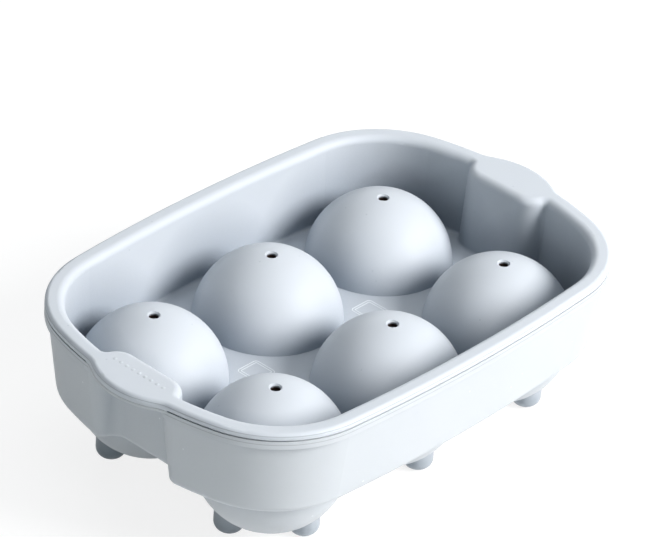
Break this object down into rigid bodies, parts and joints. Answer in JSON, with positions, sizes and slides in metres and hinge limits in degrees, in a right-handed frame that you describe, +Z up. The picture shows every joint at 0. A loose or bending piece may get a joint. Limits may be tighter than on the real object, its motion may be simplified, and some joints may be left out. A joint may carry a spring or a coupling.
{
  "type": "ice ball mould",
  "caption": "Two-part silicone mould for ice balls: a cupped lower tray on short legs and a domed upper tray with filling holes that nests in it and lifts off.",
  "frame": {"origin": "on the table, under the middle of the mould, at the level of the leg tips", "axes": "+X along the mould towards one tab, +Y across it, +Z up"},
  "size_m": [0.1914, 0.1252, 0.0603],
  "materials": {
    "lower_silicone": "matte",
    "upper_silicone": "matte"
  },
  "bodies": {
    "lower": {"bottom_tray": "lower_silicone"},
    "upper": {"top_tray": "upper_silicone"}
  },
  "joints": [
    {"name": "lift_off", "type": "slide", "parent": "lower", "child": "upper", "axis": [0, 0, 1], "range_m": [0, 0.06]}
  ]
}
